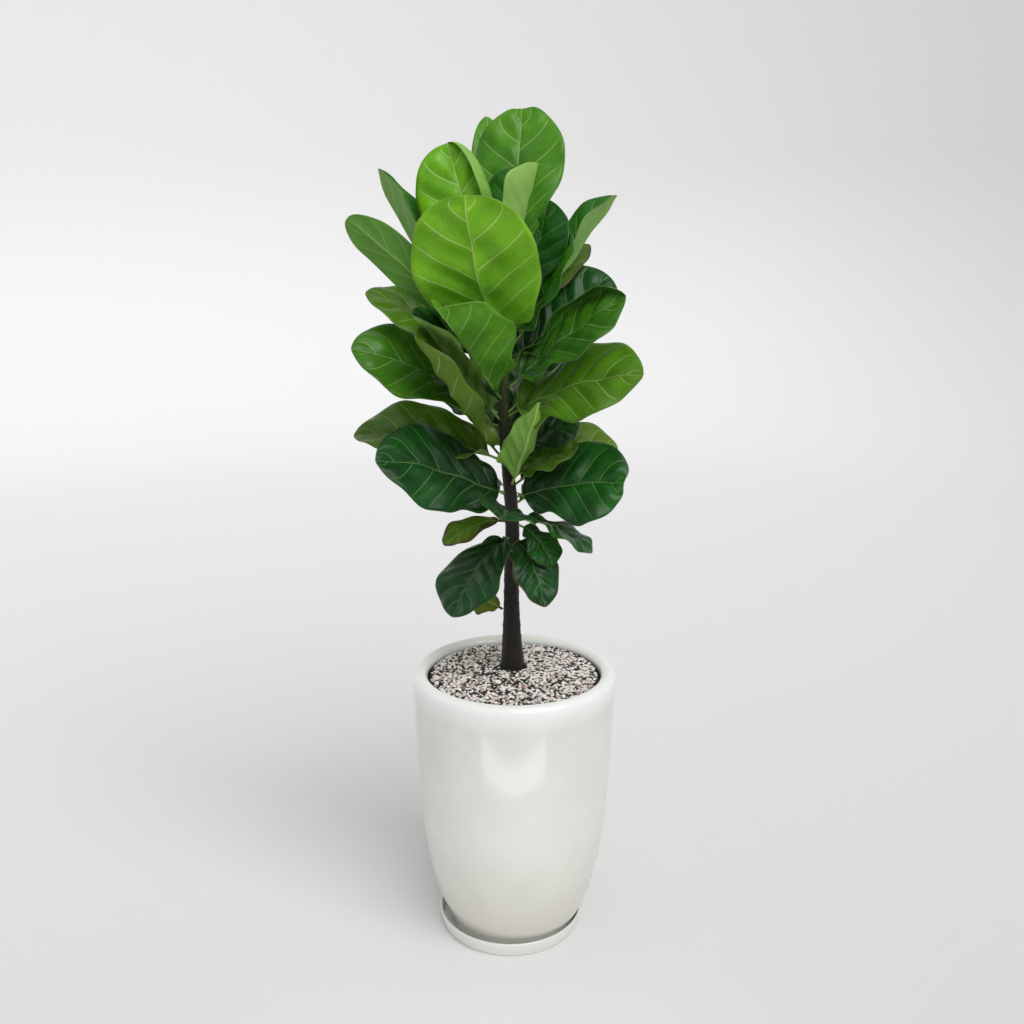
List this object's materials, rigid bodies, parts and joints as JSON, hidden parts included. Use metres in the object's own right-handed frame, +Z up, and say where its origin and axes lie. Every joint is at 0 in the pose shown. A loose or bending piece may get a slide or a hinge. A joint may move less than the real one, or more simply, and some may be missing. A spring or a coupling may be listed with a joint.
{
  "type": "potted fiddle leaf fig",
  "caption": "Upright fiddle leaf fig with broad violin-shaped leaves on one dark stem, growing in a tall glazed egg-shaped pot topped with gravel, standing on a round saucer.",
  "frame": {"origin": "middle of the saucer's flat underside, on the floor", "axes": "+Z up along the stem, -Y towards the plant's best side, +X to the right when facing that side"},
  "size_m": [0.5292, 0.4973, 1.6033],
  "materials": {
    "saucer_glaze": "glossy off-white glaze",
    "glaze": "glossy off-white glaze",
    "potting_mix": "moist dark crumb",
    "washed_gravel": "matte mixed pale stones",
    "bark": "matte dark bark",
    "leaf_young": "satin lime-green leaf",
    "leaf_mature": "satin mid-green leaf",
    "leaf_old": "semi-gloss dark-green leaf"
  },
  "bodies": {
    "root": {"saucer": "saucer_glaze", "pot": "glaze", "potting_soil": "potting_mix", "gravel_top_dressing": "washed_gravel", "stem": "bark", "leaf_01": "leaf_mature", "leaf_02": "leaf_young", "leaf_03": "leaf_young", "leaf_04": "leaf_mature", "leaf_05": "leaf_mature", "leaf_06": "leaf_young", "leaf_07": "leaf_young", "leaf_08": "leaf_old", "leaf_09": "leaf_old", "leaf_10": "leaf_mature", "leaf_11": "leaf_mature", "leaf_12": "leaf_mature", "leaf_13": "leaf_mature", "leaf_14": "leaf_mature", "leaf_15": "leaf_old", "leaf_16": "leaf_old", "leaf_17": "leaf_mature", "leaf_18": "leaf_mature", "leaf_19": "leaf_mature", "leaf_20": "leaf_mature", "leaf_21": "leaf_old", "leaf_22": "leaf_old", "leaf_23": "leaf_mature", "leaf_24": "leaf_old", "leaf_25": "leaf_young", "leaf_26": "leaf_old", "leaf_27": "leaf_old", "leaf_28": "leaf_old", "leaf_29": "leaf_old", "leaf_30": "leaf_mature", "leaf_31": "leaf_old", "leaf_32": "leaf_mature", "leaf_33": "leaf_young", "leaf_34": "leaf_mature", "leaf_35": "leaf_mature", "leaf_36": "leaf_mature", "leaf_37": "leaf_old", "leaf_38": "leaf_old", "leaf_39": "leaf_old", "leaf_40": "leaf_old", "leaf_41": "leaf_old", "leaf_42": "leaf_old", "leaf_43": "leaf_old", "leaf_44": "leaf_old"}
  },
  "joints": []
}
